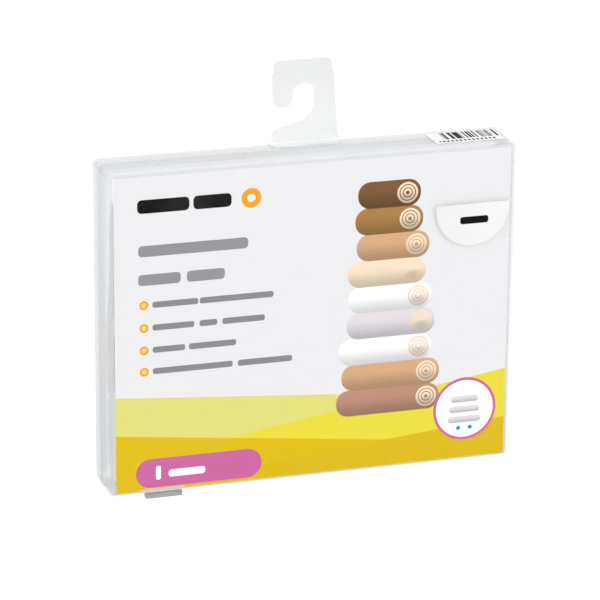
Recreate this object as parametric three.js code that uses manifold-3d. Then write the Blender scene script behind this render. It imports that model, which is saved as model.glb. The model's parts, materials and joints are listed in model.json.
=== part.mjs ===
// Clear hanging retail box that holds a folded support band behind a printed card.
// Millimetres. +X is to the viewer's right, +Y to the back, +Z up. The origin is on the
// resting face, midway along the width and depth of the closed box.
import * as THREE from 'three';
import { mergeVertices } from 'three/addons/utils/BufferGeometryUtils.js';
import Module from 'manifold-3d';

// Closed box: the lid is the deep front shell, the tray the shallow back shell
const boxWidth = 200;
const boxHeight = 160;
const boxDepth = 27;
const lidDepth = 17.5;
const shellWall = 1.1;
const cornerRadius = 3;
const edgeRadius = 0.8;
const seamGap = 0.3;
const touchGap = 0.3;

// Lip on the tray's rim that the lid closes over, at the top and sides only
const lipReach = 3;
const lipWall = 0.9;
const lipRoot = 2.4;
const lipStartHeight = 8;

// Living hinge along the bottom seam: both bottom walls thin down towards it
const hingeLength = 176;
const hingeWebThickness = 0.4;
const hingeThinDepth = 1.4;

// Thumb tab on the lid's bottom front edge
const tabLength = 18;
const tabReach = 3.8;
const tabThickness = 1.8;
const tabFromSide = 16.6;
const tabCornerRadius = 1.2;

// Hang hook: one bent strip, its foot on the tray's top wall, its blade at the rear
const hookThickness = 0.9;
const hookCentreX = 2.1;
const hookRise = 40;
const hookFootWidth = 35.2;
const hookFootFrontWidth = 31.2;
const hookHalfWidth = 14.9;
const hookShoulderRise = 33.2;
const hookShoulderHeight = 1.6;
const hookTopHalfWidth = 14.2;
const hookTopRadius = 2.6;
const fingerWidth = 9.8;
const fingerTipRise = 16.9;
const pegWidth = 10.8;
const pegTopRise = 28.5;
const throatRadius = 9.5;
const throatFloorRise = 10.1;
const throatSlope = Math.PI / 12;
const neckRadius = 2.8;
const footFlareRise = 3.4;

// Printed card behind the lid's front wall
const cardThickness = 0.4;
const cardLeftGap = 2.3;
const cardRightGap = 0.3;
const cardFloorGap = 0.3;
const cardTopGap = 0.6;
const cardCornerRadius = 1.3;

// Stickers
const stickerThickness = 0.2;
const roundLabelWidth = 36.8;
const roundLabelFromRight = 3;
const roundLabelTopHeight = 131;
const roundLabelStraightDrop = 2.2;
const sealLabelWidth = 34.4;
const sealLabelFromRight = 4;
const sealLabelOnTray = 4.2;
const sealLabelOnLid = 13;
const stickerRadius = 1.2;

// Folded band: a knitted tube laid flat, folded double over its height and once across its
// width, so four runs of double cloth lie between the card and the tray's back wall
const clothThickness = 1.5;
const foldedHeight = 138;
const bandSideGap = 2.4;
const bandInnerFoldInset = 9;
const bandCardGap = 0.8;
const bandBackGap = 1;
const hemPinch = 0.5;

// One row for each level of the folded band: height and inward dents as shares of the
// folded height and of a run's spacing, for the two left folds and the right fold
const bandLevels = [
  { height: 0.0, frontIn: 0.25, backIn: 0.3, rightIn: 0.2 },
  { height: 0.12, frontIn: 0.02, backIn: 0.1, rightIn: 0.05 },
  { height: 0.3, frontIn: 0.0, backIn: 0.18, rightIn: 0.0 },
  { height: 0.43, frontIn: 0.3, backIn: 0.06, rightIn: 0.16 },
  { height: 0.5, frontIn: 0.34, backIn: 0.02, rightIn: 0.12 },
  { height: 0.58, frontIn: 0.05, backIn: 0.12, rightIn: 0.03 },
  { height: 0.67, frontIn: 0.22, backIn: 0.25, rightIn: 0.1 },
  { height: 0.8, frontIn: 0.62, backIn: 0.4, rightIn: 0.3 },
  { height: 0.92, frontIn: 0.7, backIn: 0.5, rightIn: 0.42 },
  { height: 1.0, frontIn: 0.8, backIn: 0.6, rightIn: 0.5 },
];

// Facets on round stretches
const cornerSteps = 6;
const edgeSteps = 3;
const arcSteps = 10;
const hemSteps = 4;
const weldDistance = 1e-4;
const cutOverrun = 1;

// Planes worked out from the sizes above
const frontY = -boxDepth / 2;
const backY = boxDepth / 2;
const seamY = frontY + lidDepth;
const lidRimY = seamY - seamGap / 2;
const trayRimY = seamY + seamGap / 2;
const innerHalfWidth = boxWidth / 2 - shellWall;
const floorZ = shellWall;
const ceilingZ = boxHeight - shellWall;

const wasm = await Module();
wasm.setup();

/** A closed mesh as a solid that can be joined and cut. */
function toSolid(geometry) {
  const bare = geometry.clone();
  bare.deleteAttribute('normal');
  bare.deleteAttribute('uv');
  const merged = mergeVertices(bare, weldDistance);
  return new wasm.Manifold(new wasm.Mesh({
    numProp: 3,
    vertProperties: new Float32Array(merged.attributes.position.array),
    triVerts: new Uint32Array(merged.index.array),
  }));
}

/** A solid back as a geometry. */
function toGeometry(solid) {
  const mesh = solid.getMesh();
  const geometry = new THREE.BufferGeometry();
  geometry.setAttribute('position', new THREE.BufferAttribute(mesh.vertProperties, 3));
  geometry.setIndex(new THREE.BufferAttribute(mesh.triVerts, 1));
  geometry.computeVertexNormals();
  return geometry;
}

/** Six times the signed volume that indexed triangles enclose. */
function signedVolume(points, triangles) {
  let sum = 0;
  for (let i = 0; i < triangles.length; i += 3) {
    const [a, b, c] = [points[triangles[i]], points[triangles[i + 1]], points[triangles[i + 2]]];
    sum += a.dot(new THREE.Vector3().crossVectors(b, c));
  }
  return sum;
}

/**
 * Skin through closed rings of equal length. The rings either close on themselves, as
 * round a tube of cloth, or end in two flat caps.
 */
function skin(rings, closed) {
  const count = rings[0].length;
  const points = rings.flat();
  const triangles = [];
  const last = closed ? rings.length : rings.length - 1;
  for (let r = 0; r < last; r += 1) {
    const here = r * count;
    const next = ((r + 1) % rings.length) * count;
    for (let i = 0; i < count; i += 1) {
      const j = (i + 1) % count;
      triangles.push(here + i, here + j, next + j, here + i, next + j, next + i);
    }
  }
  if (!closed) {
    const end = (rings.length - 1) * count;
    for (let i = 1; i < count - 1; i += 1) {
      triangles.push(0, i + 1, i, end, end + i, end + i + 1);
    }
  }
  if (signedVolume(points, triangles) < 0) triangles.reverse();
  const geometry = new THREE.BufferGeometry().setFromPoints(points);
  geometry.setIndex(triangles);
  geometry.computeVertexNormals();
  return geometry;
}

/** Ring of a round-cornered upright rectangle in the plane y, drawn in from the box's outline. */
function boxRing(y, inset) {
  const radius = Math.max(cornerRadius - inset, edgeRadius / 2);
  const right = boxWidth / 2 - inset - radius;
  const centres = [
    [right, boxHeight - inset - radius],
    [-right, boxHeight - inset - radius],
    [-right, inset + radius],
    [right, inset + radius],
  ];
  const ring = [];
  centres.forEach(([x, z], corner) => {
    for (let i = 0; i <= cornerSteps; i += 1) {
      const angle = (corner + i / cornerSteps) * Math.PI / 2;
      ring.push(new THREE.Vector3(x + radius * Math.cos(angle), y, z + radius * Math.sin(angle)));
    }
  });
  return ring;
}

/** Outer form of a shell, from its rounded face at faceY to its open rim at rimY. */
function shellOuter(faceY, rimY) {
  const inward = Math.sign(rimY - faceY);
  const rings = [];
  for (let i = 0; i <= edgeSteps; i += 1) {
    const angle = (i / edgeSteps) * Math.PI / 2;
    const inset = edgeRadius * (1 - Math.sin(angle));
    rings.push(boxRing(faceY + inward * edgeRadius * (1 - Math.cos(angle)), inset));
  }
  rings.push(boxRing(rimY, 0));
  return toSolid(skin(rings, false));
}

/** Straight-sided slab of the box's outline between two planes, drawn in by inset. */
function boxSlab(fromY, toY, inset) {
  return toSolid(skin([boxRing(fromY, inset), boxRing(toY, inset)], false));
}

/** Solid block between two corners. */
function block(low, high) {
  const size = new THREE.Vector3().subVectors(high, low);
  const geometry = new THREE.BoxGeometry(size.x, size.y, size.z);
  geometry.translate(low.x + size.x / 2, low.y + size.y / 2, low.z + size.z / 2);
  return toSolid(geometry);
}

/** Notch that thins a bottom wall to the hinge web, between two planes. */
function hingeNotch(fromY, toY) {
  return block(
    new THREE.Vector3(-hingeLength / 2, fromY, hingeWebThickness),
    new THREE.Vector3(hingeLength / 2, toY, shellWall + cutOverrun),
  );
}

/** Shape in the X-Z plane made a plate between two planes of constant y. */
function uprightPlate(shape, nearY, farY) {
  const geometry = new THREE.ExtrudeGeometry(shape, {
    depth: farY - nearY, bevelEnabled: false, curveSegments: arcSteps,
  });
  geometry.rotateX(Math.PI / 2);
  geometry.translate(0, farY, 0);
  return geometry;
}

/** Rectangle shape with round corners. */
function roundedRectangle(left, right, low, high, radius) {
  const shape = new THREE.Shape();
  shape.absarc(right - radius, low + radius, radius, -Math.PI / 2, 0);
  shape.absarc(right - radius, high - radius, radius, 0, Math.PI / 2);
  shape.absarc(left + radius, high - radius, radius, Math.PI / 2, Math.PI);
  shape.absarc(left + radius, low + radius, radius, Math.PI, 1.5 * Math.PI);
  shape.closePath();
  return shape;
}

/** Back shell with its stepped lip. */
function makeTray() {
  const shell = shellOuter(backY, trayRimY)
    .subtract(boxSlab(trayRimY - cutOverrun, backY - shellWall, shellWall));
  const lipInset = shellWall + touchGap;
  const lipFrontY = trayRimY - lipReach;
  const lip = boxSlab(lipFrontY, trayRimY + lipRoot, lipInset);
  const root = boxSlab(trayRimY, trayRimY + lipRoot, shellWall / 2);
  const bore = boxSlab(lipFrontY - cutOverrun, backY - shellWall - edgeRadius, lipInset + lipWall);
  const belowLip = block(
    new THREE.Vector3(-boxWidth, lipFrontY - cutOverrun, 0),
    new THREE.Vector3(boxWidth, backY, lipStartHeight),
  );
  return shell
    .add(lip.add(root).subtract(bore).subtract(belowLip))
    .subtract(hingeNotch(trayRimY - cutOverrun, trayRimY + hingeThinDepth));
}

/** Front shell with its thumb tab. */
function makeLid() {
  const shell = shellOuter(frontY, lidRimY)
    .subtract(boxSlab(frontY + shellWall, lidRimY + cutOverrun, shellWall));
  const left = -boxWidth / 2 + tabFromSide;
  const tabShape = roundedRectangle(
    left, left + tabLength, frontY - tabReach, frontY + shellWall / 2 + tabCornerRadius, tabCornerRadius,
  );
  const tab = new THREE.ExtrudeGeometry(tabShape, {
    depth: tabThickness, bevelEnabled: false, curveSegments: cornerSteps,
  });
  const tabInside = block(
    new THREE.Vector3(left, frontY + shellWall, shellWall),
    new THREE.Vector3(left + tabLength, seamY, shellWall + tabThickness),
  );
  return shell
    .add(toSolid(tab).subtract(tabInside))
    .subtract(hingeNotch(lidRimY - hingeThinDepth, lidRimY + cutOverrun));
}

/** Outline of the hook's blade, seen from the front. */
function hookOutline(footZ) {
  const halfFoot = hookFootWidth / 2;
  const topZ = footZ + hookRise;
  const shoulderZ = footZ + hookShoulderRise;
  const fingerRadius = fingerWidth / 2;
  const fingerLeft = -hookHalfWidth;
  const fingerRight = fingerLeft + fingerWidth;
  const fingerZ = footZ + fingerTipRise + fingerRadius;
  const pegRadius = pegWidth / 2;
  const pegX = fingerRight + pegRadius;
  const pegZ = footZ + pegTopRise - pegRadius;
  const throatX = fingerRight + pegWidth - throatRadius;
  const throatZ = footZ + throatFloorRise + throatRadius;
  const throatEnd = throatSlope - Math.PI / 2;
  const neckStart = throatSlope + Math.PI / 2;
  const neckX = fingerLeft + neckRadius;
  const mouthRun = throatX + throatRadius * Math.cos(throatEnd) - neckX - neckRadius * Math.cos(neckStart);
  const neckTopZ = throatZ + throatRadius * Math.sin(throatEnd) - mouthRun * Math.tan(throatSlope);
  const neckZ = neckTopZ - neckRadius * Math.sin(neckStart);
  const shape = new THREE.Shape();
  shape.moveTo(-halfFoot, footZ);
  shape.lineTo(halfFoot, footZ);
  shape.lineTo(hookHalfWidth, shoulderZ);
  shape.lineTo(hookTopHalfWidth, shoulderZ + hookShoulderHeight);
  shape.absarc(hookTopHalfWidth - hookTopRadius, topZ - hookTopRadius, hookTopRadius, 0, Math.PI / 2);
  shape.absarc(hookTopRadius - hookTopHalfWidth, topZ - hookTopRadius, hookTopRadius, Math.PI / 2, Math.PI);
  shape.lineTo(-hookTopHalfWidth, shoulderZ + hookShoulderHeight);
  shape.lineTo(fingerLeft, shoulderZ);
  shape.absarc(fingerLeft + fingerRadius, fingerZ, fingerRadius, Math.PI, 2 * Math.PI);
  shape.absarc(pegX, pegZ, pegRadius, Math.PI, 0, true);
  shape.absarc(throatX, throatZ, throatRadius, 0, throatEnd, true);
  shape.absarc(neckX, neckZ, neckRadius, neckStart, Math.PI);
  shape.lineTo(fingerLeft, footZ + footFlareRise);
  shape.quadraticCurveTo(fingerLeft, footZ, -halfFoot, footZ);
  return shape;
}

/** Hook with its foot plate, which narrows to the front. */
function makeHook() {
  const footZ = boxHeight + touchGap;
  const blade = uprightPlate(hookOutline(footZ), backY - hookThickness, backY);
  const footFrontY = trayRimY + touchGap;
  const footPlan = new THREE.Shape();
  footPlan.moveTo(-hookFootFrontWidth / 2, footFrontY);
  footPlan.lineTo(hookFootFrontWidth / 2, footFrontY);
  footPlan.lineTo(hookFootWidth / 2, backY);
  footPlan.lineTo(-hookFootWidth / 2, backY);
  footPlan.closePath();
  const foot = new THREE.ExtrudeGeometry(footPlan, { depth: hookThickness, bevelEnabled: false });
  foot.translate(0, 0, footZ);
  return toSolid(blade).add(toSolid(foot)).translate([hookCentreX, 0, 0]);
}

/** Card, pushed to the lid's right wall, its corners clear of the lid's round inside corners. */
function makeCard() {
  const nearY = frontY + shellWall + touchGap;
  const shape = roundedRectangle(
    -innerHalfWidth + cardLeftGap, innerHalfWidth - cardRightGap,
    floorZ + cardFloorGap, ceilingZ - cardTopGap, cardCornerRadius,
  );
  return uprightPlate(shape, nearY, nearY + cardThickness);
}

/** Half-round sticker on the lid's face, its straight edge up. */
function makeRoundLabel() {
  const radius = roundLabelWidth / 2;
  const centreX = boxWidth / 2 - roundLabelFromRight - radius;
  const arcZ = roundLabelTopHeight - roundLabelStraightDrop;
  const shape = new THREE.Shape();
  shape.moveTo(centreX + radius, roundLabelTopHeight);
  shape.lineTo(centreX - radius, roundLabelTopHeight);
  shape.absarc(centreX, arcZ, radius, Math.PI, 2 * Math.PI);
  shape.closePath();
  const farY = frontY - touchGap;
  return uprightPlate(shape, farY - stickerThickness, farY);
}

/** Sticker across the top seam. */
function makeSealLabel() {
  const right = boxWidth / 2 - sealLabelFromRight;
  const shape = roundedRectangle(
    right - sealLabelWidth, right, seamY - sealLabelOnLid, seamY + sealLabelOnTray, stickerRadius,
  );
  const geometry = new THREE.ExtrudeGeometry(shape, {
    depth: stickerThickness, bevelEnabled: false, curveSegments: cornerSteps,
  });
  geometry.translate(0, 0, boxHeight + touchGap);
  return geometry;
}

/**
 * Plan of the folded tube of cloth at one level, moved out from its middle line by offset.
 * Run one is next to the card, run four next to the tray's back wall.
 */
function bandPlan(level, offset) {
  const doubled = 2 * clothThickness;
  const firstY = frontY + shellWall + touchGap + cardThickness + bandCardGap + clothThickness;
  const lastY = backY - shellWall - bandBackGap - clothThickness;
  const spacing = (lastY - firstY) / 3;
  const runY = [0, 1, 2, 3].map((run) => firstY + run * spacing);
  const turn = spacing / 2;
  const leftX = -innerHalfWidth + bandSideGap + turn + doubled / 2;
  const rightX = innerHalfWidth - bandSideGap - 3 * turn - doubled / 2 - level.rightIn * spacing;
  const innerX = rightX + 3 * turn - bandInnerFoldInset;
  const plan = [];
  const arc = (x, y, radius, from, to) => {
    for (let i = 0; i <= arcSteps; i += 1) {
      const angle = from + (to - from) * i / arcSteps;
      plan.push([x + radius * Math.cos(angle), y + radius * Math.sin(angle)]);
    }
  };
  const middle = (runY[1] + runY[2]) / 2;
  arc(leftX + level.frontIn * spacing, (runY[0] + runY[1]) / 2, turn + offset, Math.PI / 2, 1.5 * Math.PI);
  arc(rightX, middle, 3 * turn + offset, -Math.PI / 2, Math.PI / 2);
  arc(leftX + level.backIn * spacing, (runY[2] + runY[3]) / 2, turn + offset, Math.PI / 2, 1.5 * Math.PI);
  arc(innerX - level.rightIn * spacing, middle, turn - offset, Math.PI / 2, -Math.PI / 2);
  return plan;
}

/** Dents of the band at a share of its height, read between the table's rows. */
function bandLevelAt(share) {
  const above = Math.max(1, bandLevels.findIndex((row) => row.height >= share));
  const [low, high] = [bandLevels[above - 1], bandLevels[above]];
  const part = (share - low.height) / (high.height - low.height);
  const smooth = part * part * (3 - 2 * part);
  const mix = (key) => low[key] + (high[key] - low[key]) * smooth;
  return { frontIn: mix('frontIn'), backIn: mix('backIn'), rightIn: mix('rightIn') };
}

/** Band: its doubled cloth ends in a round fold at the top and a soft hem at the bottom. */
function makeBand() {
  const lowZ = floorZ + touchGap;
  const topZ = lowZ + foldedHeight;
  const stations = [];
  for (let i = 0; i <= hemSteps; i += 1) {
    const angle = (i / hemSteps) * Math.PI / 2;
    const half = clothThickness * (hemPinch + (1 - hemPinch) * Math.sin(angle));
    stations.push({ z: lowZ + (clothThickness / 2) * (1 - Math.cos(angle)), half });
  }
  bandLevels.slice(1, -1).forEach((row) => {
    stations.push({ z: lowZ + row.height * foldedHeight, half: clothThickness });
  });
  for (let i = 0; i < hemSteps; i += 1) {
    const angle = (i / hemSteps) * Math.PI / 2;
    const half = clothThickness * Math.cos(angle);
    stations.push({ z: topZ - clothThickness * (1 - Math.sin(angle)), half });
  }
  const ringAt = ({ z, half }) => {
    const level = bandLevelAt((z - lowZ) / foldedHeight);
    return bandPlan(level, half).map(([x, y]) => new THREE.Vector3(x, y, z));
  };
  const outside = stations.map(ringAt);
  const inside = stations.map(({ z, half }) => ringAt({ z, half: -half })).reverse();
  return skin([...outside, ringAt({ z: topZ, half: 0 }), ...inside], true);
}

const clear = { color: 0xe6eaec, roughness: 0.12, metalness: 0, transparent: true, opacity: 0.35 };
const milky = { color: 0xeceeef, roughness: 0.3, metalness: 0, transparent: true, opacity: 0.7 };
const print = { color: 0xf2f2f4, roughness: 0.5, metalness: 0 };
const paper = { color: 0xfafafa, roughness: 0.6, metalness: 0 };
const knit = { color: 0xf4f3ef, roughness: 0.9, metalness: 0 };

const part = new THREE.Group();

/** Adds one named piece to the part. */
function place(name, geometry, finish) {
  const mesh = new THREE.Mesh(geometry, new THREE.MeshStandardMaterial(finish));
  mesh.name = name;
  part.add(mesh);
}

place('tray', toGeometry(makeTray()), clear);
place('lid', toGeometry(makeLid()), clear);
place('hang_hook', toGeometry(makeHook()), milky);
place('card_insert', makeCard(), print);
place('round_label', makeRoundLabel(), paper);
place('seal_label', makeSealLabel(), paper);
place('folded_band', makeBand(), knit);

export default part;
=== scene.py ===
"""Looks of a clear hanging retail box that holds a folded knitted support band.

Metres. +X is to the viewer's right, +Y to the back and +Z up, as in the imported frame.
"""

from __future__ import annotations

import json
import logging
import math
from dataclasses import dataclass
from enum import Enum
from typing import Any, NamedTuple

import bmesh
import bpy
from mathutils import Matrix, Vector, noise

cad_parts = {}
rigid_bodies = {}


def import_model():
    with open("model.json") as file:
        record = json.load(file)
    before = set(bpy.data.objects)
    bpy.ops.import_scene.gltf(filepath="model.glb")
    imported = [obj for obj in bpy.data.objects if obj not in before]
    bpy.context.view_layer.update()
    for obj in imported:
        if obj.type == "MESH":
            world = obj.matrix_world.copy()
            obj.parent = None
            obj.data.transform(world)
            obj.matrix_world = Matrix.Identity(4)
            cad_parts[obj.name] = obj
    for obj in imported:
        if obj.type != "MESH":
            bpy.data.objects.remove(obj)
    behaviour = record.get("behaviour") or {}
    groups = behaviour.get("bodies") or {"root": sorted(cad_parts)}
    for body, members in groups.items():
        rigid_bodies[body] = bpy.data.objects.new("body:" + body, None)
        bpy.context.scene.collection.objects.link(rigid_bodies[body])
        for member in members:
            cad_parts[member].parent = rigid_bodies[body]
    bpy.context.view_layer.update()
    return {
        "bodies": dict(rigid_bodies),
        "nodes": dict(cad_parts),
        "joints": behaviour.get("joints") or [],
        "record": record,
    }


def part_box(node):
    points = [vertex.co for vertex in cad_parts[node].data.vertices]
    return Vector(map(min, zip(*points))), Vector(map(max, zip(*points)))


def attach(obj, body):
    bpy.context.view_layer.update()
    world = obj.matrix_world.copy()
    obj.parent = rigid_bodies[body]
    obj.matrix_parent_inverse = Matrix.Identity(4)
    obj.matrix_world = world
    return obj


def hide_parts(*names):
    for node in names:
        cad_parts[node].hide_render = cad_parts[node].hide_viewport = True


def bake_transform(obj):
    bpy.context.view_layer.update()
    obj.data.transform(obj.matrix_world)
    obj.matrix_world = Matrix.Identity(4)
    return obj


LOG = logging.getLogger("box")
MM = 0.001
WELD = 2e-6
PRINT_EDGE = 0.06 * MM
CLOTH_MAP = "cloth"
CLOTH_WIDTH = 0.770
CLOTH_HEIGHT = 0.277

MARKS_DEPTH = 0.05 * MM
FIBRE_DEPTH = 0.03 * MM
NOISE_RANGE = (0.3, 0.7)
PLASTIC_REFRACTION = 1.45
CARD_TO_FRONT = 1.4 * MM

Node = bpy.types.Node
NodeTree = bpy.types.NodeTree
Socket = bpy.types.NodeSocket
Material = bpy.types.Material
Object = bpy.types.Object
Colour = tuple[float, float, float, float]
Place = tuple[float, float]
Spot = tuple[float, float, float]


class Body(Enum):
    """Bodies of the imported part."""

    BOX = "box"
    LID = "lid"


class Slot(Enum):
    """Material slots of the record, named on the moulded pieces but not read when they are built."""

    CLEAR = "clear_plastic"
    MILKY = "milky_plastic"
    KNIT = "white_knit"


def linear(code: str) -> Colour:
    """Turns a six-figure screen colour into Blender's linear colour.

    Args:
        code: Red, green and blue as two hexadecimal figures each.

    Returns:
        The linear colour with full alpha.
    """
    shares = [int(code[i : i + 2], 16) / 255 for i in (0, 2, 4)]
    red, green, blue = (s / 12.92 if s <= 0.04045 else ((s + 0.055) / 1.055) ** 2.4 for s in shares)
    return red, green, blue, 1.0


class Ink(Enum):
    """Colours of the card's and labels' print."""

    BOARD = "E4E4E6"
    BLACK = "060607"
    GREY = "8F9093"
    SMALL_GREY = "85868A"
    ORANGE = "F0A018"
    PALE_YELLOW = "DDD878"
    MID_YELLOW = "E4D63A"
    DEEP_YELLOW = "DAB800"
    DARK_YELLOW = "D8B500"
    MAGENTA = "C7649B"
    WHITE = "FCFCFC"
    BROWN = "7A5430"
    BRONZE = "A67C45"
    TAN = "D2A67E"
    SKY_BLUE = "1E8FC0"
    CREAM = "F0DCC0"
    PEARL = "DDD7DC"
    ROSE = "B98A73"

    @property
    def colour(self) -> Colour:
        """The ink as a linear colour."""
        return linear(self.value)


class Tree:
    """A node tree under construction, with short calls for the nodes that the finishes use."""

    def __init__(self, tree: NodeTree) -> None:
        """Takes the tree that the nodes go into.

        Args:
            tree: Material's or node group's tree.
        """
        self.tree = tree

    def add(self, kind: str, inputs: dict[str | int, Any] | None = None, **settings: Any) -> Node:
        """Adds a node.

        Args:
            kind: Node type's identifier.
            inputs: Values or sockets for the node's inputs, by name or number.
            settings: The node's own properties.

        Returns:
            The new node.
        """
        node = self.tree.nodes.new(kind)
        for key, value in settings.items():
            setattr(node, key, value)
        for key, value in (inputs or {}).items():
            if isinstance(value, Socket):
                self.tree.links.new(value, node.inputs[key])
            else:
                node.inputs[key].default_value = value
        return node

    def join(self, source: Socket, target: Socket) -> None:
        """Links an output to an input."""
        self.tree.links.new(source, target)

    def math(self, operation: str, first: Any, second: Any = 0.0) -> Socket:
        """Adds a Math node and gives its result."""
        return self.add("ShaderNodeMath", {0: first, 1: second}, operation=operation).outputs[0]

    def parts(self, vector: Any) -> Any:
        """Splits a vector and gives its X, Y and Z by name."""
        return self.add("ShaderNodeSeparateXYZ", {"Vector": vector}).outputs

    def noise(self, place: Socket, scale: float, detail: float = 3.0) -> Socket:
        """Adds a Noise Texture and gives its value."""
        inputs = {"Vector": place, "Scale": scale, "Detail": detail}
        return self.add("ShaderNodeTexNoise", inputs).outputs["Fac"]

    def bump(self, height: Socket, strength: float, depth: float) -> Socket:
        """Adds a Bump node and gives its normal."""
        inputs = {"Strength": strength, "Distance": depth, "Height": height}
        return self.add("ShaderNodeBump", inputs).outputs["Normal"]

    def vector(self, operation: str, first: Any, second: Any = (0.0, 0.0, 0.0)) -> Socket:
        """Adds a Vector Math node and gives its result, a number for LENGTH."""
        node = self.add("ShaderNodeVectorMath", {0: first, 1: second}, operation=operation)
        return node.outputs["Value" if operation == "LENGTH" else "Vector"]

    def ramp(self, value: Any, start: float, end: float, low: Any = 0.0, high: Any = 1.0) -> Socket:
        """Maps a value from start..end to low..high, smoothly, and gives the result."""
        inputs = {"Value": value, "From Min": start, "From Max": end, "To Min": low, "To Max": high}
        return self.add("ShaderNodeMapRange", inputs, interpolation_type="SMOOTHSTEP").outputs["Result"]

    def mix(self, share: Any, first: Any, second: Any) -> Socket:
        """Mixes two colours by a share and gives the result."""
        node = self.add("ShaderNodeMix", data_type="RGBA")
        for name, value in (("Factor_Float", share), ("A_Color", first), ("B_Color", second)):
            socket = next(s for s in node.inputs if s.identifier == name)
            if isinstance(value, Socket):
                self.tree.links.new(value, socket)
            else:
                socket.default_value = value
        return next(s for s in node.outputs if s.identifier == "Result_Color")

    def group(self, effect: NodeTree, inputs: dict[str, Any]) -> Node:
        """Adds a node group with its values and gives the node."""
        node = self.add("ShaderNodeGroup", node_tree=effect)
        for key, value in inputs.items():
            if isinstance(value, Socket):
                self.tree.links.new(value, node.inputs[key])
            else:
                node.inputs[key].default_value = value
        return node


class Effects:
    """Node groups that more than one material uses, each made once."""

    PATCH_SCALE = 46.0
    PATCH_RANGE = (0.42, 0.66)
    STREAK_SCALE = (900.0, 900.0, 70.0)
    STREAK_RANGE = (0.56, 0.74)
    STREAK_SHARE = 0.7
    FIBRE_SCALE = 2600.0
    TONE_SCALE = 34.0

    def __init__(self) -> None:
        """Builds every group."""
        self.scuffs = self._scuffs()
        self.grain = self._grain()
        self.bar = self._bar()

    @staticmethod
    def _open(name: str, inputs: dict[str, str], outputs: list[str]) -> tuple[Tree, Node, Node]:
        """Starts a group with its sockets.

        Args:
            name: Group's name.
            inputs: Input names with Float or Vector.
            outputs: Names of the number outputs.

        Returns:
            The group's tree, its input node and its output node.
        """
        effect = bpy.data.node_groups.new(name, "ShaderNodeTree")
        for key, kind in inputs.items():
            effect.interface.new_socket(key, in_out="INPUT", socket_type=f"NodeSocket{kind}")
        for key in outputs:
            effect.interface.new_socket(key, in_out="OUTPUT", socket_type="NodeSocketFloat")
        tree = Tree(effect)
        return tree, tree.add("NodeGroupInput"), tree.add("NodeGroupOutput")

    def _scuffs(self) -> NodeTree:
        """Faint handling marks on plastic: a roughness that varies and a height for bump."""
        inputs = {"Vector": "Vector", "Smooth": "Float", "Worn": "Float"}
        tree, given, made = self._open("handling_scuffs", inputs, ["Roughness", "Height"])
        drawn = tree.vector("MULTIPLY", given.outputs["Vector"], self.STREAK_SCALE)
        marks = tree.ramp(tree.noise(drawn, 1.0, 2.0), *self.STREAK_RANGE)
        patch = tree.ramp(tree.noise(given.outputs["Vector"], self.PATCH_SCALE), *self.PATCH_RANGE)
        worn = tree.math("MULTIPLY", marks, patch)
        streaks = tree.math("MULTIPLY", worn, self.STREAK_SHARE)
        share = tree.math("ADD", streaks, tree.math("MULTIPLY", patch, 1.0 - self.STREAK_SHARE))
        rough = tree.ramp(share, 0.0, 1.0, given.outputs["Smooth"], given.outputs["Worn"])
        tree.join(rough, made.inputs["Roughness"])
        tree.join(worn, made.inputs["Height"])
        return tree.tree

    def _grain(self) -> NodeTree:
        """Fine fibre of paper and board: a height for bump and a share for colour."""
        tree, given, made = self._open("paper_grain", {"Vector": "Vector"}, ["Height", "Tone"])
        tree.join(tree.noise(given.outputs["Vector"], self.FIBRE_SCALE), made.inputs["Height"])
        tree.join(tree.noise(given.outputs["Vector"], self.TONE_SCALE, 2.0), made.inputs["Tone"])
        return tree.tree

    def _bar(self) -> NodeTree:
        """Round-cornered printed bar in the X-Z plane: a mask, and how high in the bar a point is."""
        inputs = {"Vector": "Vector", "Centre": "Vector", "Core": "Vector", "Corner": "Float"}
        tree, given, made = self._open("printed_bar", inputs, ["Mask", "Across"])
        apart = tree.vector("SUBTRACT", given.outputs["Vector"], given.outputs["Centre"])
        flat = tree.vector("MULTIPLY", apart, (1.0, 0.0, 1.0))
        past = tree.vector("SUBTRACT", tree.vector("ABSOLUTE", flat), given.outputs["Core"])
        reach = tree.vector("LENGTH", tree.vector("MAXIMUM", past))
        over = tree.math("SUBTRACT", reach, given.outputs["Corner"])
        tree.join(tree.ramp(over, -PRINT_EDGE, PRINT_EDGE, 1.0, 0.0), made.inputs["Mask"])
        half = tree.math("ADD", tree.parts(given.outputs["Core"])["Z"], given.outputs["Corner"])
        tree.join(tree.math("DIVIDE", tree.parts(flat)["Z"], half), made.inputs["Across"])
        return tree.tree


@dataclass(frozen=True)
class Finish:
    """A material for one of the record's slots."""

    effects: Effects

    def _open(self, name: str) -> tuple[Material, Tree, Node, Socket]:
        """Starts a material.

        Args:
            name: Material's name.

        Returns:
            The material, its tree, its output node and the Object coordinates.
        """
        material = bpy.data.materials.new(name)
        material.use_nodes = True
        tree = Tree(material.node_tree)
        tree.tree.nodes.clear()
        output = tree.add("ShaderNodeOutputMaterial")
        return material, tree, output, tree.add("ShaderNodeTexCoord").outputs["Object"]


def shell_box() -> tuple[Vector, Vector]:
    """Lowest and highest corner of the closed box, without its hook and thumb tab.

    Returns:
        The two corners, the front one at the card's front less the lid's wall and gap.
    """
    tray_low, tray_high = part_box("tray")
    card_low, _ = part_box("card_insert")
    return Vector((tray_low.x, card_low.y - CARD_TO_FRONT, 0.0)), tray_high


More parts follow.
